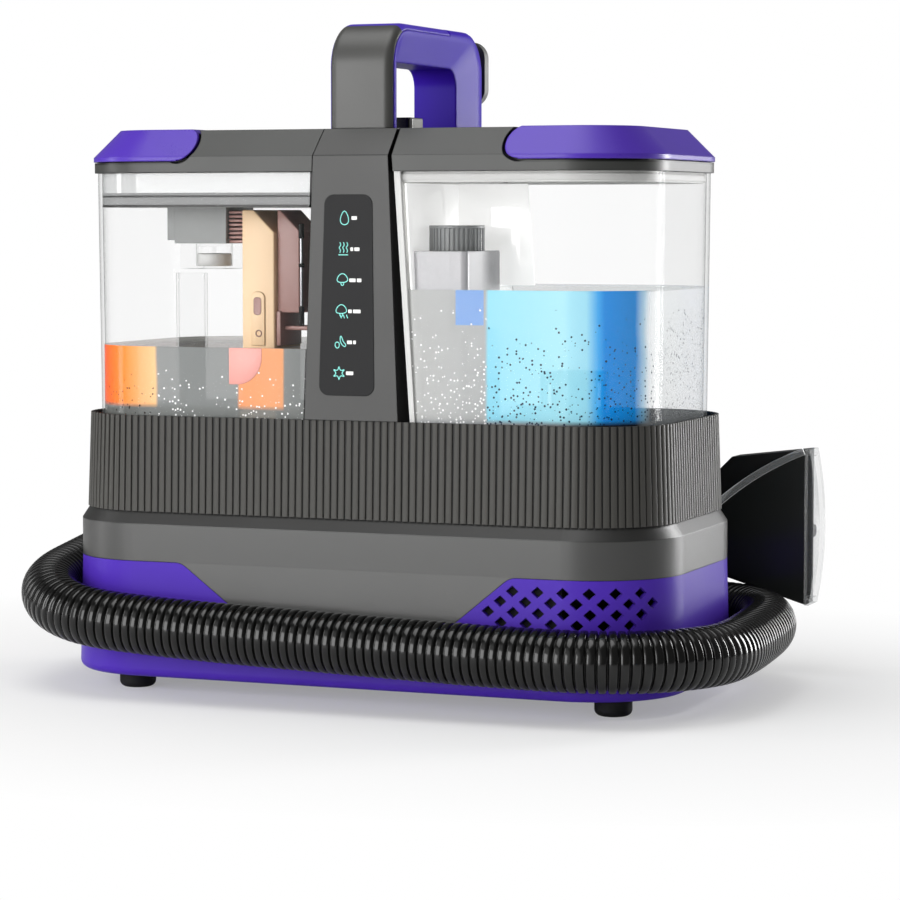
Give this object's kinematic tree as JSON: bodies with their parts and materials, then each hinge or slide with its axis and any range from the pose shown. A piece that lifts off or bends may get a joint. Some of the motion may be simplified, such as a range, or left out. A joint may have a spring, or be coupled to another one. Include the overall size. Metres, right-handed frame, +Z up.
{
  "type": "carpet cleaner machine",
  "caption": "Portable spot cleaner with clear clean and dirty water tanks beside a centre column, fluted belt, carrying handle, and a suction hose with a flat nozzle stowed round its base",
  "frame": {"origin": "bottom centre of the bounding box of everything but the hose and its cuffs, on the floor that the feet stand on", "axes": "+X from the dirty tank to the clean tank, +Y from the control panel to the back, +Z up"},
  "size_m": [0.4894, 0.3004, 0.416],
  "materials": {
    "graphite": "satin",
    "dark_trim": "satin",
    "purple": "satin",
    "clear": "clear",
    "black_gloss": "gloss",
    "black_matte": "matte",
    "rubber": "matte",
    "steel": "brushed",
    "circuit": "satin",
    "motor_case": "satin",
    "amber": "satin",
    "brown": "satin",
    "grey_plastic": "satin",
    "filter_foam": "matte",
    "tubing": "satin",
    "hose_plastic": "gloss"
  },
  "bodies": {
    "root": {"base_pan": "purple", "base_screws": "steel", "feet": "rubber", "vent_filter": "filter_foam", "lower_housing": "graphite", "fluted_belt": "graphite", "tank_deck": "dark_trim", "power_inlet": "rubber", "motor_mount": "rubber", "fan_housing": "black_matte", "suction_motor": "motor_case", "water_pump": "black_matte", "steam_boiler": "steel", "boiler_brackets": "black_matte", "suction_duct": "black_matte", "water_tubes": "tubing", "control_panel": "black_gloss", "column_front": "graphite", "column_rear": "graphite", "control_board": "circuit", "column_cap": "graphite", "power_switch": "black_matte", "button_spring": "steel", "handle_shell": "graphite", "handle_grip": "purple", "lower_hook": "black_matte", "hose_port": "black_matte", "hose": "hose_plastic", "hose_cuffs": "black_matte", "hose_saddles": "black_matte", "wand_body": "black_matte", "wand_cradle": "black_matte", "nozzle_body": "black_matte", "nozzle_window": "black_gloss", "nozzle_lip": "clear"},
    "dirty_tank_body": {"dirty_tank": "clear", "standpipe": "clear", "inlet_duct": "amber", "splash_baffle": "brown"},
    "clean_tank_body": {"clean_tank": "clear", "tank_valve": "black_matte", "valve_spring": "steel", "tank_strainer": "grey_plastic", "detergent_bottle": "grey_plastic", "bottle_cap": "grey_plastic"},
    "plunger_body": {"valve_plunger": "rubber"},
    "dirty_lid_body": {"dirty_lid": "graphite", "dirty_seal": "rubber", "separator_box": "grey_plastic", "float_cage": "clear"},
    "clean_lid_body": {"clean_lid": "graphite", "clean_seal": "rubber"},
    "dirty_latch_body": {"dirty_latch": "purple"},
    "clean_latch_body": {"clean_latch": "purple"},
    "float_body": {"tank_float": "tubing"},
    "button_body": {"power_button": "black_matte"},
    "hook_body": {"upper_hook": "black_matte"},
    "rotor_body": {"impeller": "black_matte", "motor_shaft": "steel"},
    "trigger_body": {"wand_trigger": "dark_trim"}
  },
  "joints": [
    {"name": "dirty_tank_lift", "type": "slide", "parent": "root", "child": "dirty_tank_body", "axis": [0, 0, 1], "range_m": [0, 0.15]},
    {"name": "clean_tank_lift", "type": "slide", "parent": "root", "child": "clean_tank_body", "axis": [0, 0, 1], "range_m": [0, 0.15]},
    {"name": "valve_open", "type": "slide", "parent": "clean_tank_body", "child": "plunger_body", "axis": [0, 0, 1], "range_m": [0, 0.003], "stiffness_N_per_m": 120, "springref_m": -0.004},
    {"name": "dirty_lid_lift", "type": "slide", "parent": "dirty_tank_body", "child": "dirty_lid_body", "axis": [0, 0, 1], "range_m": [0, 0.08]},
    {"name": "clean_lid_lift", "type": "slide", "parent": "clean_tank_body", "child": "clean_lid_body", "axis": [0, 0, 1], "range_m": [0, 0.08]},
    {"name": "dirty_latch_turn", "type": "hinge", "parent": "dirty_lid_body", "child": "dirty_latch_body", "pos_m": [-0.13002, -0.02282, 0.3425], "axis": [0, 1, 0], "range_deg": [0, 45]},
    {"name": "clean_latch_turn", "type": "hinge", "parent": "clean_lid_body", "child": "clean_latch_body", "pos_m": [0.09498, -0.02282, 0.3425], "axis": [0, -1, 0], "range_deg": [0, 45]},
    {"name": "float_rise", "type": "slide", "parent": "dirty_lid_body", "child": "float_body", "axis": [0, 0, 1], "range_m": [0, 0.006]},
    {"name": "button_press", "type": "slide", "parent": "root", "child": "button_body", "axis": [0, 0, -1], "range_m": [0, 0.002], "stiffness_N_per_m": 300, "springref_m": -0.003},
    {"name": "hook_turn", "type": "hinge", "parent": "root", "child": "hook_body", "pos_m": [-0.01352, 0.06718, 0.381], "axis": [0, 1, 0], "range_deg": [0, 180]},
    {"name": "rotor_spin", "type": "hinge", "parent": "root", "child": "rotor_body", "pos_m": [0.09748, -0.02782, 0.04], "axis": [0, 0, 1], "continuous": true},
    {"name": "trigger_press", "type": "hinge", "parent": "root", "child": "trigger_body", "pos_m": [0.07048, 0.11518, 0.1145], "axis": [0, -1, 0], "range_deg": [0, 5], "stiffness_Nm_per_rad": 0.2, "springref_deg": -5.73}
  ]
}
